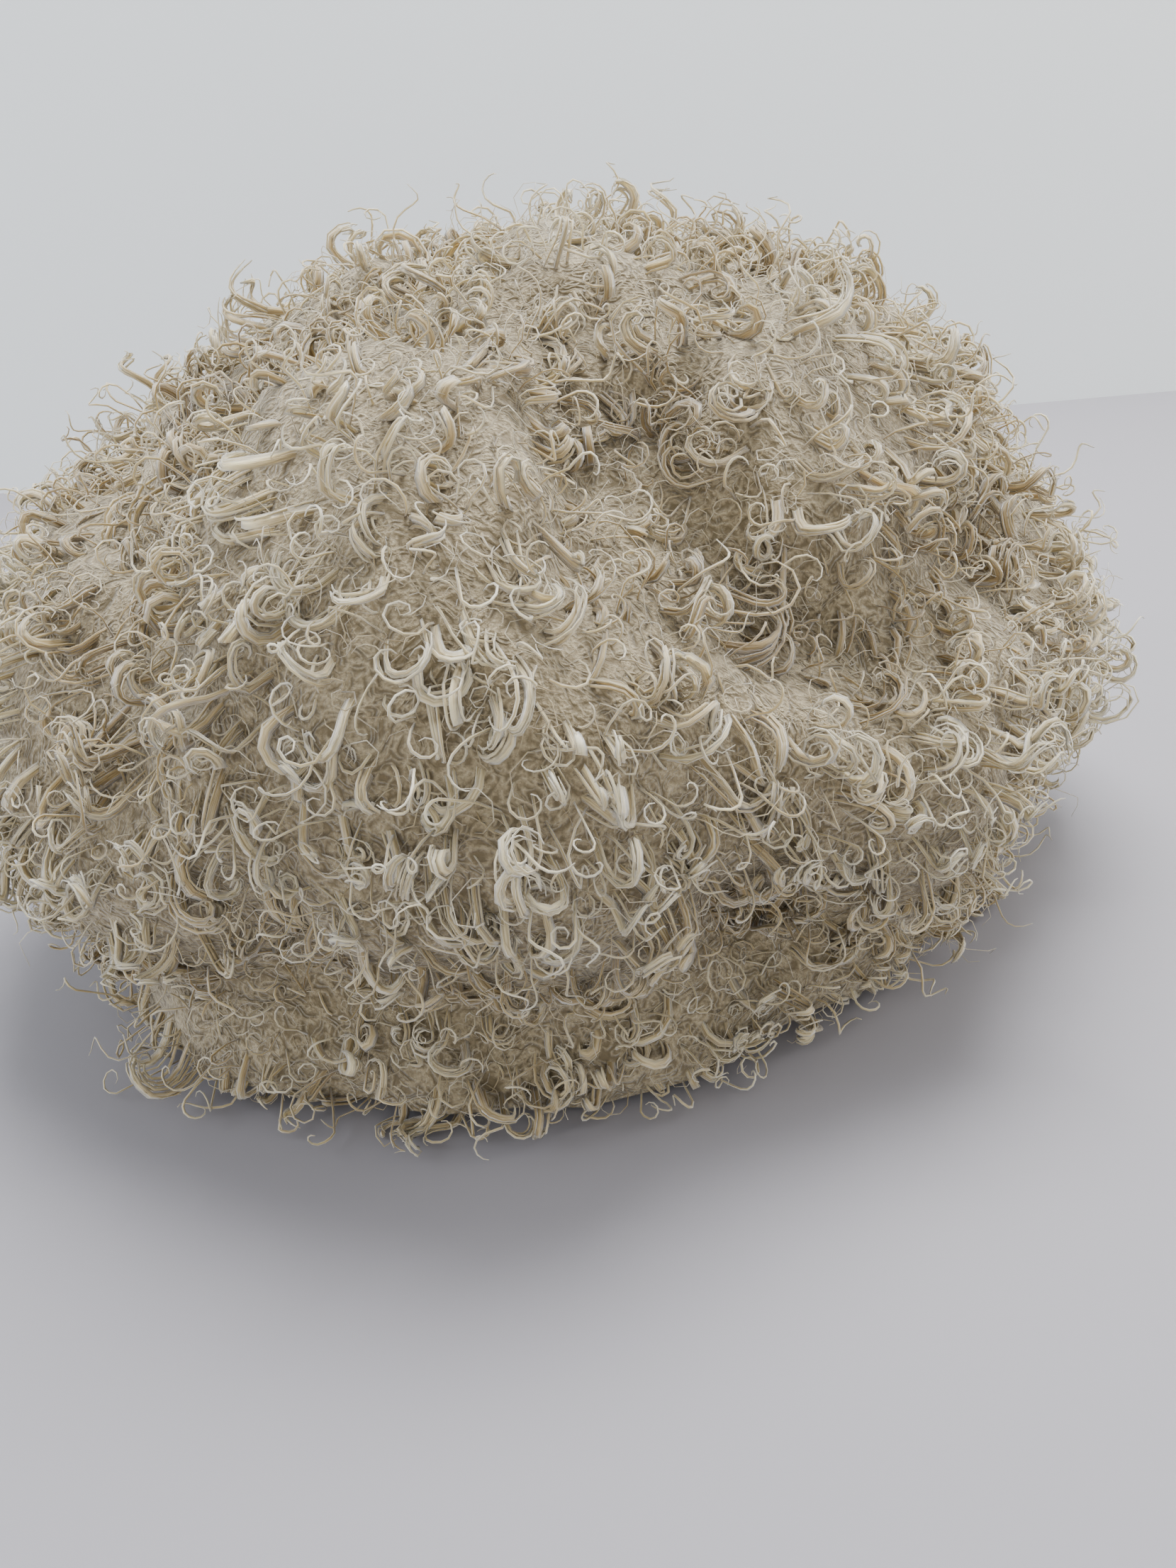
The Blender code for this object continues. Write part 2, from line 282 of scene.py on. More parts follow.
# %% [markdown]
# ## Where the curls grow
# The roots lie on the underwool seven to ten millimetres apart, as even as on a real skin. They
# are drawn by throwing points at the surface and keeping each one that has room round it. A
# hair system could scatter them too, but its hairs would be harder to bend and to export.

# %% Roots, evenly spread
SEED = 29
ROOT_SPACING = 7.3 * MM
THROWS = 40000
THROW_NUDGE = 0.01                      # of a unit vector
LOWEST_ROOT = 5 * MM                    # above the table
GOLDEN = math.pi * (3 - math.sqrt(5))   # the turn that never lines up with an earlier one
draws = np.random.default_rng(SEED)


def underwool_points(ways):
    """Points on the underwool's face, along unit vectors."""
    return middle + ways * underwool_reach(ways)[:, None]


def spread_ways(count):
    """Unit vectors spread evenly over a ball along a golden spiral, each nudged by chance."""
    steps = np.arange(count)
    height = 1 - (2 * steps + 1) / count
    turn = steps * GOLDEN
    flat = np.sqrt(1 - height**2)
    ways = np.stack((flat * np.cos(turn), flat * np.sin(turn), height), axis=-1)
    ways += draws.normal(0, THROW_NUDGE, ways.shape)
    return ways / np.linalg.norm(ways, axis=1, keepdims=True)


def with_room(points, spacing):
    """Indices of points that keep a distance from all those kept before."""
    cells, kept = {}, []
    for i in draws.permutation(len(points)):
        x, y, z = (int(c) for c in points[i] // spacing)
        near = [j for a in (x - 1, x, x + 1) for b in (y - 1, y, y + 1) for c in (z - 1, z, z + 1)
                for j in cells.get((a, b, c), ())]
        if all(np.sum((points[i] - points[j]) ** 2) > spacing**2 for j in near):
            kept.append(i)
            cells.setdefault((x, y, z), []).append(i)
    return np.array(kept)


thrown = spread_ways(THROWS)
thrown = thrown[thrown[:, 2] > math.sin(RIM_SLOPE)]
thrown = thrown[underwool_points(thrown)[:, 2] > LOWEST_ROOT]
thrown_points = underwool_points(thrown)
kept = with_room(thrown_points, ROOT_SPACING)
ways, roots = thrown[kept], thrown_points[kept]
depth = np.mean(wool_reach(ways) - skin_reach(ways)) / MM
print(len(roots), "roots, wool", round(float(depth)), "mm deep")

# %% [markdown]
# ## How a curl lies
# Wool stands up from the skin and is combed down by its own weight. So each curl gets the
# direction straight out of the underwool, and the downhill direction along it, swayed a little
# in slow waves that give the fleece its partings.

# %% Directions at the roots
NUDGE = 0.02                    # of a unit vector, to the points beside
DOWNHILL_SPREAD = 0.12
PARTING_WAVE = 46 * MM
PARTING_SWAY = math.radians(38)


def unit(vectors):
    """Vectors brought to length 1."""
    return vectors / np.maximum(np.linalg.norm(vectors, axis=-1, keepdims=True), 1e-9)


def turned(vectors, axes, angles):
    """Vectors turned round unit axes, by Rodrigues' formula."""
    cosine, sine = np.cos(angles)[:, None], np.sin(angles)[:, None]
    along = (vectors * axes).sum(axis=-1, keepdims=True)
    return vectors * cosine + np.cross(axes, vectors) * sine + axes * along * (1 - cosine)


def straight_out(ways):
    """Normals of the underwool's face, from points a little to two sides."""
    level = unit(np.stack((-ways[:, 1], ways[:, 0], np.zeros(len(ways))), axis=-1))
    uphill = np.cross(ways, level)
    here = underwool_points(ways)
    beside = underwool_points(unit(ways + level * NUDGE)) - here
    over = underwool_points(unit(ways + uphill * NUDGE)) - here
    return unit(np.cross(beside, over))


out = straight_out(ways)
down = np.array((0, 0, -1.0)) - out * -out[:, 2:3]
down = unit(down + draws.normal(0, DOWNHILL_SPREAD, down.shape))
down = unit(turned(down, out, PARTING_SWAY * slow_waves(roots, PARTING_WAVE)))
print("curls point up to", round(math.degrees(np.arcsin(out[:, 2].max()))), "degrees up")

# %% [markdown]
# ## One lock of wool
# A lock is a tuft of fibres that leave the skin together, bend downhill and end in a hook or a
# ring 5 to 8 mm across. Each of its strands is a thin tube along a curve that is walked in
# steps: straight at first, then turning round an axis more and more, in shorter and shorter
# steps. All strands of the hat are walked at once as arrays, because one by one in edit mode
# they would take hours.

# %% Walk the strands
STEPS, STEM_STEPS = 11, 2
BEND = 0.55                         # how far a stem bends over downhill
TURN_START, TURN_GAIN = 0.8, 0.4    # of an even turn: in a curl's first step, and gained later
STEP_START, STEP_LOSS = 1.3, 0.6    # of an even step: the length of the first, and lost later
LOWEST_LINE = TABLE_GAP * 2         # above the table, of the middle of a strand


def walk(start, heading, combed, axis, stem, ring, turns, rise, steps=STEPS, stem_steps=STEM_STEPS):
    """Centre lines of strands: a stem that bends over to the combed direction, then a spiral of
    so many turns whose radius ends at the ring's. It rises along its axis like a corkscrew."""
    count = len(start)
    lines = np.zeros((count, steps, 3))
    point = start.copy()
    point[:, 2] = np.maximum(point[:, 2], LOWEST_LINE)
    lines[:, 0] = point
    heading = unit(heading)
    curl_steps = steps - 1 - stem_steps
    for step in range(1, steps):
        if step <= stem_steps:
            heading = unit(heading + combed * (BEND / stem_steps))
            length = stem / stem_steps
        else:
            share = (step - stem_steps) / curl_steps
            side = unit(axis - heading * (axis * heading).sum(axis=-1, keepdims=True))
            angle = turns * math.tau / curl_steps * (TURN_START + TURN_GAIN * share)
            heading = unit(turned(heading, side, angle))
            length = ring * (STEP_START - STEP_LOSS * share) * math.tau * np.abs(turns) / curl_steps
        point = point + heading * length[:, None]
        if step > stem_steps:
            point = point + axis * (rise * length)[:, None]
        point[:, 2] = np.maximum(point[:, 2], LOWEST_LINE)
        lines[:, step] = point
    return lines


# %% Tubes round the lines
SIDES = 3
STREAK_SHIFT = 97       # mm for a tone of 1, so that strands don't show the same streaks


def frames(lines):
    """Two unit vectors square to each line at each of its points, carried along without a twist."""
    along = unit(np.gradient(lines, axis=1))
    across = unit(np.cross(along[:, 0], draws.normal(size=along[:, 0].shape)))
    first = np.zeros(lines.shape)
    for step in range(lines.shape[1]):
        ahead = along[:, step]
        across = unit(across - ahead * (across * ahead).sum(axis=-1, keepdims=True))
        first[:, step] = across
    return first, np.cross(along, first)


def tubes(lines, widths, flatness=1):
    """Corners of tapered tubes round centre lines, as strand, step, side. Flat ones are ribbons."""
    first, second = frames(lines)
    second = second * flatness
    angles = (np.arange(SIDES) * math.tau / SIDES)[:, None]
    around = first[:, :, None] * np.cos(angles) + second[:, :, None] * np.sin(angles)
    corners = lines[:, :, None] + around * widths[:, :, None, None] / 2
    corners[..., 2] = np.maximum(corners[..., 2], PRESSED)
    return corners


def lock_mesh(name, corners, tones_and_shade):
    """One mesh of many closed tubes. Each corner keeps where it is along its strand and the
    strand's own tone, in locks with the painted light and shade of the folds, and the UV map holds
    millimetres round and along the strand."""
    count, steps, sides, _ = corners.shape
    ring = np.arange(sides)
    after = (ring + 1) % sides
    low = np.arange(steps - 1)[:, None] * sides
    high = low + sides
    quads = np.stack((low + ring, low + after, high + after, high + ring), axis=-1).reshape(-1, 4)
    first = np.arange(count)[:, None] * steps * sides
    quads = (first[:, :, None] + quads).reshape(-1, 4)
    root_cap = first + ring[::-1]
    tip_cap = first + (steps - 1) * sides + ring
    mesh = bpy.data.meshes.new(name)
    faces = quads.tolist() + root_cap.tolist() + tip_cap.tolist()
    mesh.from_pydata(corners.reshape(-1, 3), [], faces)
    place = np.broadcast_to(np.linspace(0, 1, steps)[None, :, None], (count, steps, sides))
    tone_and_shade = np.broadcast_to(tones_and_shade[:, None, None], (count, steps, sides))
    for label, values in (("root_to_tip", place), ("tone_and_shade", tone_and_shade)):
        layer = mesh.attributes.new(label, "FLOAT", "POINT")
        layer.data.foreach_set("value", values.astype(np.float32).ravel())
    length = np.linalg.norm(np.diff(corners.mean(axis=2), axis=1), axis=-1).cumsum(axis=1)
    length = np.concatenate((np.zeros((count, 1)), length), axis=1) / MM
    edges = np.linalg.norm(corners - np.roll(corners, 1, axis=2), axis=-1)
    girth = edges.sum(axis=2).max(axis=1) / MM
    around = np.array([ring, ring + 1, ring + 1, ring]).T / sides
    u = around[None, None] * girth[:, None, None, None] + tones_and_shade[:, None, None, None] * STREAK_SHIFT
    before, behind = length[:, :-1], length[:, 1:]
    v = np.stack((before, before, behind, behind), axis=-1)[:, :, None, :]
    whole = (count, steps - 1, sides, 4)
    uv = np.stack((np.broadcast_to(u, whole), np.broadcast_to(v, whole)), axis=-1).reshape(-1, 2)
    caps = np.zeros((count * sides * 2, 2))
    layer = mesh.uv_layers.new(name="fibres")
    layer.data.foreach_set("uv", np.concatenate((uv, caps)).astype(np.float32).ravel())
    mesh.shade_smooth()
    piece = bpy.data.objects.new(name, mesh)
    bpy.context.scene.collection.objects.link(piece)
    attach(piece, BODY)
    triangles = count * (2 * sides * (steps - 1) + 2 * (sides - 2))
    print(name, count, "strands,", triangles, "triangles")
    return piece


# %% [markdown]
# ## Staples
# Grease and rain stick neighbouring locks together in bunches, which shepherds call staples.
# So the locks within about a centimetre curl the same way, share a tone and lean over to a
# common middle, which leaves dark gaps between the bunches.

# %% Bunch the roots into staples
STAPLE_SPACING = 15 * MM
PULL = 0.5              # how far a lock leans over to the middle of its staple
LEANT = 0.5             # share of its length after which it doesn't lean further
count = len(roots)
centres = roots[with_room(roots, STAPLE_SPACING)]
bunches = len(centres)
apart = np.linalg.norm(roots[:, None] - centres[None], axis=-1)
staple = apart.argmin(axis=1)
lean = centres[staple] - roots
lean = (lean - out * (lean * out).sum(axis=-1, keepdims=True)) * PULL
lean_share = np.interp(np.linspace(0, 1, STEPS), (0, LEANT, 1), (0, 1, 1))
print(bunches, "staples of about", round(count / bunches, 1), "locks")


def shared(staples, own, shape=()):
    """Random offsets: one that a staple's locks share, and a smaller one of each lock's own."""
    common = draws.normal(0, staples, (bunches, *shape))
    return common[staple] + draws.normal(0, own, (count, *shape))


# %% [markdown]
# ## Locks over the whole hat
# A lock of ram's wool is not one thick thread. Bundles of fibres leave the skin over a patch of
# its own size, run together along one curve, and end at slightly different lengths. So each
# root gets one curve. A flat tuft and some thin strands follow it side by side: spread wide at
# the skin, drawn together along the body, and fanned a little by chance at the tip.

# %% Draw the locks
STRANDS = 3
LEAST_ROOM = 6 * MM
SINK = 3 * MM                       # below the underwool, where a lock begins
RING = (2.4, 4.0)                   # mm, radius of a curl
OWN_RING, MOST_OWN_RING = 0.16, 0.3    # share by which a lock's own ring differs
STEM = (2.5 * MM, 9 * MM)           # shortest and longest
STEM_SHARE = 0.8                    # of the room over the underwool
TURNS, OWN_TURNS = (0.8, 1.15), 0.08    # round the ring, and a lock's own share of them
LIFT, LIFT_WAVE = 0.3, 11 * MM      # by which some places stand higher than those beside them
OUTWARD, DOWNHILL = 0.8, 0.6        # parts of a lock's first direction
HOOKED = 0.5                        # share of the staples that curl on edge; the others lie flat
LEVEL_TONE, FOLD_SHADE = 0.6, 0.09   # brightness of level wool, and its gain for each mm that a fold stands out: painted light on the ridges, painted shade in the hollows
room = np.maximum(wool_reach(ways) - underwool_reach(ways), LEAST_ROOM)
staple_ring = draws.uniform(*RING, bunches)
own_ring = 1 + draws.normal(0, OWN_RING, count).clip(-MOST_OWN_RING, MOST_OWN_RING)
lock_ring = staple_ring[staple] * own_ring * MM
lift = 1 + LIFT * slow_waves(roots + 1, LIFT_WAVE)
lock_stem = room * (STEM_SHARE + shared(staples=0.12, own=0.08)) * lift - lock_ring
lock_stem = lock_stem.clip(*STEM)
staple_turns = draws.uniform(*TURNS, bunches) * draws.choice((-1, 1), bunches)
lock_turns = staple_turns[staple] * (1 + draws.normal(0, OWN_TURNS, count))
lock_rise = shared(staples=0.16, own=0.05)
stray = shared(staples=0.25, own=0.12, shape=(3,))
lock_heading = unit(out * OUTWARD + down * DOWNHILL + stray)
hooked = (draws.random(bunches) < HOOKED)[staple]
flat_axis = out + shared(staples=0.4, own=0.2, shape=(3,))
hook_axis = np.cross(out, down) + shared(staples=0.4, own=0.2, shape=(3,))
lock_axis = unit(np.where(hooked[:, None], hook_axis, flat_axis))
fold = relief(ways) * above_hem(ways) / MM
# painted light and shade: locks in the hollows of the folds are darker, those on their ridges
# lighter
lock_tone_and_shade = (LEVEL_TONE + FOLD_SHADE * fold + shared(staples=0.14, own=0.1)).clip(0, 1)
print("folds stand", round(fold.min()), "to", round(fold.max()), "mm out")
guides = walk(
    start=roots - out * SINK, heading=lock_heading, combed=down, axis=lock_axis,
    stem=lock_stem + SINK, ring=lock_ring, turns=lock_turns, rise=lock_rise,
)
guides = guides + lean[:, None] * lean_share[:, None]

# %% Strands beside the locks' lines
ASIDE = 0.7                     # spread of the strands' places beside a line
GATHERED = 0.3                  # share of the length over which they draw together
SHORTEST = 0.7                  # share of the line that the shortest strand follows
FULL, THINNING = 0.35, 0.75     # shares of the length between which a strand is thickest
THINNED = 0.7                   # of its thickness, where it begins to thin out
THICKNESS = (0.75, 1.3)         # of single strands, against the mean
STRAND_TONE = 0.1               # spread of the tones in a lock
QUARTER = 90                    # degrees
SECTORS = ("right", "back", "left", "front")


def follow(lines, per_lock, wide, narrow, fan, twist):
    """Strands beside their lock's line: as far from it as wide at the root and as narrow along its
    body, twisted round it, fanned out by chance at the tip, and a little shorter or longer."""
    at = np.repeat(np.arange(len(lines)), per_lock)
    many, steps = len(at), lines.shape[1]
    place = np.linspace(0, 1, steps)
    first, second = frames(lines)
    turn = draws.uniform(0, math.tau, many)[:, None] + draws.normal(0, twist, many)[:, None] * place
    gap = np.interp(place, (0, GATHERED, 1), (wide, narrow, narrow))
    off = np.abs(draws.normal(0, ASIDE, many))[:, None] * gap
    beside = first[at] * (np.cos(turn) * off)[:, :, None]
    beside = beside + second[at] * (np.sin(turn) * off)[:, :, None]
    fanned = draws.normal(0, fan, (many, 1, 3)) * (place**2)[:, None]
    strands = lines[at] + beside + fanned
    reach = place * (steps - 1) * draws.uniform(SHORTEST, 1, many)[:, None]
    before = np.minimum(reach.astype(int), steps - 2)
    share = (reach - before)[:, :, None]
    row = np.arange(many)[:, None]
    strands = strands[row, before] * (1 - share) + strands[row, before + 1] * share
    strands[:, :, 2] = np.maximum(strands[:, :, 2], TABLE_GAP)
    return at, strands


def taper(strands, root, body, tip, steps=STEPS):
    """Widths along each strand: from its root to its body and down to a fine tip."""
    place = np.linspace(0, 1, steps)
    width = np.interp(place, (0, FULL, THINNING, 1), (root, body, body * THINNED, tip))
    return width[None] * draws.uniform(*THICKNESS, strands)[:, None]


def add_locks(kind, where, corners, tones_and_shade):
    """One piece for each part of the hat, so that none grows too heavy."""
    turn = np.degrees(np.arctan2(where[:, 1], where[:, 0]))
    sector = ((turn + QUARTER / 2) // QUARTER).astype(int) % len(SECTORS)
    slope = np.arcsin(where[:, 2])
    for level, inside in (("crown", slope > SEAM_SLOPE), ("side", slope <= SEAM_SLOPE)):
        for i, place in enumerate(SECTORS):
            chosen = inside & (sector == i)
            pieces.append(lock_mesh(f"{level}_{kind}_{place}", corners[chosen], tones_and_shade[chosen]))


pieces = []
at, lines = follow(guides, per_lock=1, wide=0.5 * MM, narrow=0.5 * MM, fan=0.5 * MM, twist=0)
widths = taper(len(at), root=2.4 * MM, body=3.0 * MM, tip=0.5 * MM)
add_locks("tufts", ways[at], tubes(lines, widths, flatness=0.38), lock_tone_and_shade[at])
at, lines = follow(guides, STRANDS, wide=3.2 * MM, narrow=1.7 * MM, fan=1.4 * MM, twist=0.8)
widths = taper(len(at), root=0.7 * MM, body=0.8 * MM, tip=0.25 * MM)
corners = tubes(lines, widths)
tones_and_shade = (lock_tone_and_shade[at] + draws.normal(0, STRAND_TONE, len(at))).clip(0, 1)
add_locks("locks", ways[at], corners, tones_and_shade)

# %% [markdown]
# ## Loose curls
# Single bundles of fibres that belong to no lock curl over the gaps between the locks. They are
# thinner, start a little off the roots, and turn any way they like. They are what makes the
# fleece look open and springy instead of combed.

# %% Loose curls between the locks
LOOSE = 2                       # at each root
ROOT_STRAY = 3 * MM
LOOSE_STRAY, LOOSE_TILT = 0.6, 0.8      # spread of the first direction and of the axis
LOOSE_RING = (2.0, 3.6)         # mm
LOOSE_ROOM = (0.5, 1)           # share of the room over the underwool
LEAST_LOOSE = 2 * MM            # of the stem
LOOSE_TURNS, LOOSE_RISE = (0.6, 1.05), 0.25
LOOSE_TONE = (0.05, 0.12)       # mean and spread, against the lock's
at = np.repeat(np.arange(count), LOOSE)
many = len(at)
aside = draws.normal(0, ROOT_STRAY, (many, 3))
loose_heading = out[at] + draws.normal(0, LOOSE_STRAY, (many, 3))
loose_axis = unit(out[at] + draws.normal(0, LOOSE_TILT, (many, 3)))
loose_ring = draws.uniform(*LOOSE_RING, many) * MM
loose_stem = room[at] * draws.uniform(*LOOSE_ROOM, many) - loose_ring
loose_stem = np.maximum(loose_stem, LEAST_LOOSE) + SINK
loose_turns = draws.uniform(*LOOSE_TURNS, many) * draws.choice((-1, 1), many)
lines = walk(
    start=roots[at] + aside - out[at] * SINK, heading=loose_heading, combed=down[at],
    axis=loose_axis, stem=loose_stem, ring=loose_ring, turns=loose_turns,
    rise=draws.normal(0, LOOSE_RISE, many),
)
corners = tubes(lines, taper(many, root=0.6 * MM, body=0.7 * MM, tip=0.25 * MM))
tones_and_shade = (lock_tone_and_shade[at] + draws.normal(*LOOSE_TONE, many)).clip(0, 1)
add_locks("curls", ways[at], corners, tones_and_shade)

# %% [markdown]
# ## Frizz
# The finest hairs stand off as a haze. A real fleece has millions, so only some thousands are
# meshes, a third of a millimetre thick, and the rest is left to the underwool's pattern.

# %% Frizz
FRIZZ, FRIZZ_STEPS = 5200, 7
FRIZZ_SINK, FRIZZ_STEM = 1 * MM, 4 * MM
FRIZZ_RING = (2.5, 5)           # mm
FRIZZ_TURNS, FRIZZ_RISE = (0.4, 0.85), 0.3
FRIZZ_OUTWARD, FRIZZ_TILT = 0.8, 0.7    # parts of the direction, and spread of the axis
picked = draws.permutation(len(thrown))[:FRIZZ]
frizz_ways, start = thrown[picked], thrown_points[picked]
away = straight_out(frizz_ways)
sideways = unit(np.cross(away, draws.normal(size=away.shape)))
frizz_axis = unit(away + draws.normal(0, FRIZZ_TILT, away.shape))
frizz_ring = draws.uniform(*FRIZZ_RING, FRIZZ) * MM
frizz_turns = draws.uniform(*FRIZZ_TURNS, FRIZZ) * draws.choice((-1, 1), FRIZZ)
lines = walk(
    start=start - away * FRIZZ_SINK, heading=away * FRIZZ_OUTWARD + sideways, combed=sideways,
    axis=frizz_axis, stem=np.full(FRIZZ, FRIZZ_STEM), ring=frizz_ring, turns=frizz_turns,
    rise=draws.normal(0, FRIZZ_RISE, FRIZZ), steps=FRIZZ_STEPS, stem_steps=1,
)
widths = taper(FRIZZ, root=0.3 * MM, body=0.3 * MM, tip=0.15 * MM, steps=FRIZZ_STEPS)
add_locks("frizz", frizz_ways, tubes(lines, widths), draws.random(FRIZZ))

# %% [markdown]
# ## Colours and materials
# Undyed ram's wool is a warm pale cream. Its locks are painted darker in the hollows of the folds
# and lighter on their ridges, as painted shade and light. It isn't glossy, but each fibre is a
# smooth scaled rod that catches light along its length, so a lock shows silky streaks.
# All the materials are nodes without pictures, and their scales are worked out from millimetres.

# %% Helpers for materials
def linear(code):
    """A colour from sRGB hex, as linear light."""
    values = [int(code[i:i + 2], 16) / 255 for i in (1, 3, 5)]
    return [v / 12.92 if v <= 0.04045 else ((v + 0.055) / 1.055) ** 2.4 for v in values] + [1]


def feed(tree, node, inputs):
    """Give a node its inputs. Each is a number, a colour or the socket it is fed by."""
    for key, value in dict(inputs).items():
        if isinstance(value, bpy.types.NodeSocket):
            tree.links.new(value, node.inputs[key])
        else:
            node.inputs[key].default_value = value


def add_node(tree, kind, inputs=(), **settings):
    """Add a node with its settings and its inputs."""
    node = tree.nodes.new(kind)
    for key, value in settings.items():
        setattr(node, key, value)
    feed(tree, node, inputs)
    return node


def new_material(name):
    """A material with its node tree and its main shader."""
    material = bpy.data.materials.new(name)
    material.use_nodes = True
    tree = material.node_tree
    return material, tree, tree.nodes["Principled BSDF"]


def noise(tree, place, size, **inputs):
    """A noise whose grains measure so many mm, where the place is in metres."""
    inputs = {"Vector": place, "Scale": 1 / (size * MM), **inputs}
    return add_node(tree, "ShaderNodeTexNoise", inputs).outputs["Fac"]


def combine(tree, operation, first, second):
    """Two patterns, or a pattern and a number, brought together."""
    node = add_node(tree, "ShaderNodeMath", {0: first, 1: second}, operation=operation)
    return node.outputs[0]


def raised(tree, height, distance):
    """Normals of a surface that a pattern raises by so many mm."""
    inputs = {"Height": height, "Strength": 1, "Distance": distance * MM}
    return add_node(tree, "ShaderNodeBump", inputs).outputs["Normal"]


def coat(material, pieces):
    """Give pieces a material of their own."""
    for piece in pieces:
        piece.data.materials.clear()
        piece.data.materials.append(material)
    print(material.name, "on", len(pieces), "pieces")


def ramp(tree, factor, stops):
    """Colours over a factor, as (place, hex)."""
    node = add_node(tree, "ShaderNodeValToRGB", {"Fac": factor})
    for i, (place, code) in enumerate(stops):
        stop = node.color_ramp.elements[i] if i < 2 else node.color_ramp.elements.new(place)
        stop.position = place
        stop.color = linear(code)
    return node.outputs["Color"]


# %% [markdown]
# ## Curled ram's wool
# Each strand's mesh already has its course, so the material adds what is too fine for it: the
# fibres in a strand as long streaks on the UV map with painted shade between them, darker
# towards the root as painted shade and as grease, bleached at the tip, with a tone of its own
# for each lock and the painted light and shade of the folds.

# %% Curled ram's wool
STREAK_WIDTH, STREAK_LENGTH = 0.4, 12       # mm, of the bundles of fibres that show
STREAK_DEPTH = 0.75                         # share of their shade that is used
material, tree, shader = new_material("curled ram's wool with painted shade")


def multiply(first, second, share):
    """One colour shaded by another."""
    node = add_node(tree, "ShaderNodeMix", {"Factor": share, 6: first, 7: second},
                    data_type="RGBA", blend_type="MULTIPLY")
    return node.outputs[2]


fibre_map = add_node(tree, "ShaderNodeUVMap", uv_map="fibres")
stretched = add_node(tree, "ShaderNodeMapping", {
    "Vector": fibre_map.outputs["UV"], "Scale": (1 / STREAK_WIDTH, 1 / STREAK_LENGTH, 1),
})
fibres = add_node(tree, "ShaderNodeTexNoise", {
    "Vector": stretched.outputs["Vector"], "Scale": 1, "Detail": 3,
}).outputs["Fac"]
place = add_node(tree, "ShaderNodeAttribute", attribute_name="root_to_tip").outputs["Fac"]
tone_and_shade = add_node(tree, "ShaderNodeAttribute", attribute_name="tone_and_shade").outputs["Fac"]
# darker towards the root, as painted shade and as grease, and bleached at the tip
length_colour_and_shade = ramp(tree, place, ((0, "#c8b995"), (0.45, "#ebdfc1"), (1, "#fff7e0")))
# the tone holds each lock's own tone and the painted light and shade of the folds
tone_and_shade_colour = ramp(tree, tone_and_shade, ((0, "#a99a79"), (0.5, "#eadfc6"), (1, "#fffcf0")))
# painted shade in the gaps between the fibres of a strand
streak_shade_colour = ramp(tree, fibres, ((0.38, "#9c8f73"), (0.6, "#ffffff")))
wool_colour = multiply(multiply(length_colour_and_shade, tone_and_shade_colour, 1), streak_shade_colour, STREAK_DEPTH)
feed(tree, shader, {
    "Base Color": wool_colour, "Normal": raised(tree, fibres, 0.6), "Roughness": 0.5,
    "Sheen Weight": 0.9, "Sheen Roughness": 0.4, "Subsurface Weight": 0.4,
    "Subsurface Radius": (1.0, 0.9, 0.7), "Subsurface Scale": 2 * MM,
})
coat(material, pieces)

# %% [markdown]
# ## Felted underwool
# Between the locks the eye meets fine curled fibres over darkness. The hills of a noise, cut
# into levels, give closed lines that wander like such fibres. Two sets of them at two sizes,
# broken up by a fine noise, colour the underwool and raise it.

# Its colour is dark, as painted shade between the locks, and darkest in the gaps between its
# fibres.
# %% Felted underwool
RINGLET = 11        # mm across, of the swirls in the underwool
SMALLER = 0.7       # of that, the size of the second set
LINES = 9           # fibres shown in each swirl
FUZZ = 0.8          # mm between the hairs that break the fibres up
material, tree, shader = new_material("felted underwool with painted shade")
where = add_node(tree, "ShaderNodeTexCoord").outputs["Object"]


def swirls(offset, size):
    """Lines that run round the hills of a noise, like fine curled fibres."""
    moved = add_node(tree, "ShaderNodeMapping", {"Vector": where, "Location": offset})
    hills = noise(tree, moved.outputs["Vector"], size, Detail=1, Distortion=0.6)
    return combine(tree, "PINGPONG", combine(tree, "MULTIPLY", hills, LINES * 2), 1)


first = swirls((0, 0, 0), RINGLET)
second = swirls((0.3, 0.1, 0.2), RINGLET * SMALLER)
fuzz = noise(tree, where, FUZZ, Detail=2)
height = combine(tree, "MULTIPLY", combine(tree, "MAXIMUM", first, second), fuzz)
# painted shade: the underwool is coloured dark, darkest in the gaps between its fibres
feed(tree, shader, {
    "Base Color": ramp(tree, height, ((0.15, "#716449"), (0.75, "#c9ba99"))),
    "Normal": raised(tree, height, 1.2), "Roughness": 0.8, "Sheen Weight": 0.3,
})
coat(material, underwools)

# %% [markdown]
# ## Suede
# The flesh side of a tanned skin is brushed to a short nap. It is dull from every side, a little
# lighter at a low angle, and blotched where the tan took more or less.

# %% Suede
NAP = 0.7           # mm between the tufts of its nap
MOTTLE = 35         # mm across, of the darker patches that tanning leaves
material, tree, shader = new_material("sheepskin suede")
where = add_node(tree, "ShaderNodeTexCoord").outputs["Object"]
nap = noise(tree, where, NAP, Detail=3)
both = combine(tree, "ADD", nap, noise(tree, where, MOTTLE))
feed(tree, shader, {
    "Base Color": ramp(tree, both, ((0.3, "#8a6f4f"), (0.7, "#c2a987"))),
    "Normal": raised(tree, nap, 0.3), "Roughness": 0.9, "Sheen Weight": 0.4,
})
coat(material, panels)

# %% [markdown]
# ## Camera
# The photo looks down at the hat from close by, with the long edge of the frame upright. On its
# wearer the hat sat a little tilted. Here it rests level, and the camera is rolled instead.

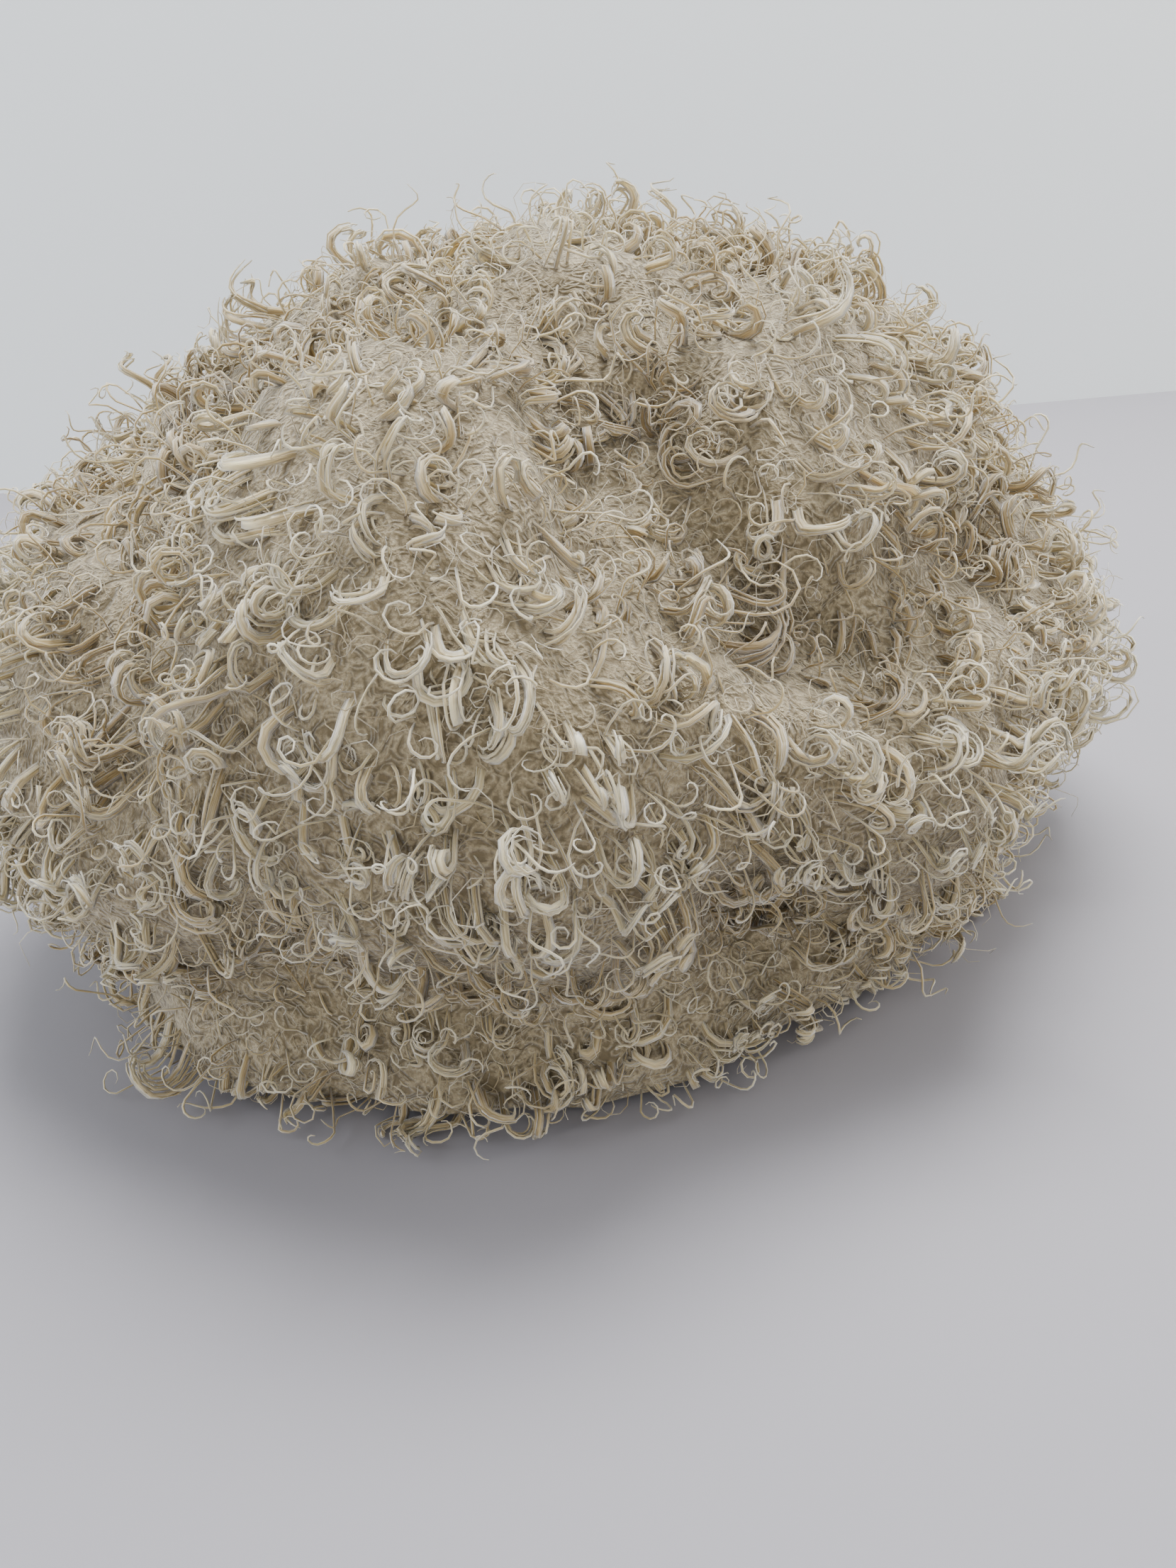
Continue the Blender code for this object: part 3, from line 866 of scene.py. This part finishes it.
# %% Camera
# Angles and focal length follow the photo's perspective, in pixels of its full size.
CAMERA_PLACE = (0.0047, -0.35, 0.21)
LOOK_DOWN = math.radians(28)
ROLL = math.radians(5)
FOCAL_PIXELS = 1700
IMAGE_HEIGHT = 2212
SENSOR = 36         # mm
NEAREST = 10 * MM   # to the camera, that it shows
camera = bpy.data.cameras.new("camera")
camera.sensor_fit = "VERTICAL"
camera.sensor_height = SENSOR
camera.lens = SENSOR * FOCAL_PIXELS / IMAGE_HEIGHT
camera.clip_start = NEAREST
view = bpy.data.objects.new("camera", camera)
bpy.context.scene.collection.objects.link(view)
turn = Matrix.Rotation(math.pi / 2 - LOOK_DOWN, 4, "X") @ Matrix.Rotation(-ROLL, 4, "Z")
view.matrix_world = Matrix.Translation(CAMERA_PLACE) @ turn
bpy.context.scene.camera = view
print("a", round(camera.lens), "mm lens looks", round(math.degrees(LOOK_DOWN)), "degrees down")

# %% [markdown]
# ## Table, wall and light
# A pale table and a white wall fill the frame, and light comes from large soft lamps: one high
# behind the hat for its bright top, one on each side, and a weak one low in front.

# %% Table and wall
STAGE_SIZE = 6          # metres
WALL_PLACE = 0.62       # metres behind the middle of the hat


def stage_plane(name, size, place, turn, colour):
    """A painted plane that stands round the hat and isn't part of it."""
    bpy.ops.object.select_all(action="DESELECT")
    bpy.ops.mesh.primitive_plane_add(size=size, location=place, rotation=turn)
    plane = bpy.context.object
    plane.name = name
    material, tree, shader = new_material(name + " paint")
    feed(tree, shader, {"Base Color": linear(colour), "Roughness": 0.7})
    plane.data.materials.append(material)
    print(name, "is", size, "m wide")


stage_plane("table", STAGE_SIZE, (0, WALL_PLACE - STAGE_SIZE / 2, 0), (0, 0, 0), "#929096")
stage_plane("wall", STAGE_SIZE, (0, WALL_PLACE, STAGE_SIZE / 2), (math.pi / 2, 0, 0), "#dde2e4")

# %% Light
def area_light(name, place, aim, size, power, colour):
    """A round soft lamp of so many watts, aimed at a point. Places and sizes are in metres."""
    light = bpy.data.lights.new(name, "AREA")
    light.shape = "DISK"
    light.size = size
    light.energy = power
    light.color = linear(colour)[:3]
    lamp = bpy.data.objects.new(name, light)
    bpy.context.scene.collection.objects.link(lamp)
    lamp.location = place
    lamp.rotation_euler = (Vector(aim) - Vector(place)).to_track_quat("-Z", "Y").to_euler()
    print(name, "gives", power, "W")


HAT = (0, 0, 0.1)
HEM = (0, 0, 0.05)
area_light("ceiling light", (0.15, 0.45, 1.35), HAT, size=1, power=60, colour="#ffffff")
area_light("low fill", (0, -1.5, 0.3), HEM, size=1, power=7, colour="#fffaf2")
area_light("window light", (-1.3, -0.1, 0.5), HAT, size=0.9, power=12, colour="#f4f8ff")
area_light("side light", (1.2, 0.1, 0.6), HAT, size=0.9, power=11, colour="#fffaf2")
world = bpy.data.worlds.new("room")
world.use_nodes = True
background = world.node_tree.nodes["Background"]
feed(world.node_tree, background, {"Color": linear("#eef1f4"), "Strength": 0.82})
bpy.context.scene.world = world
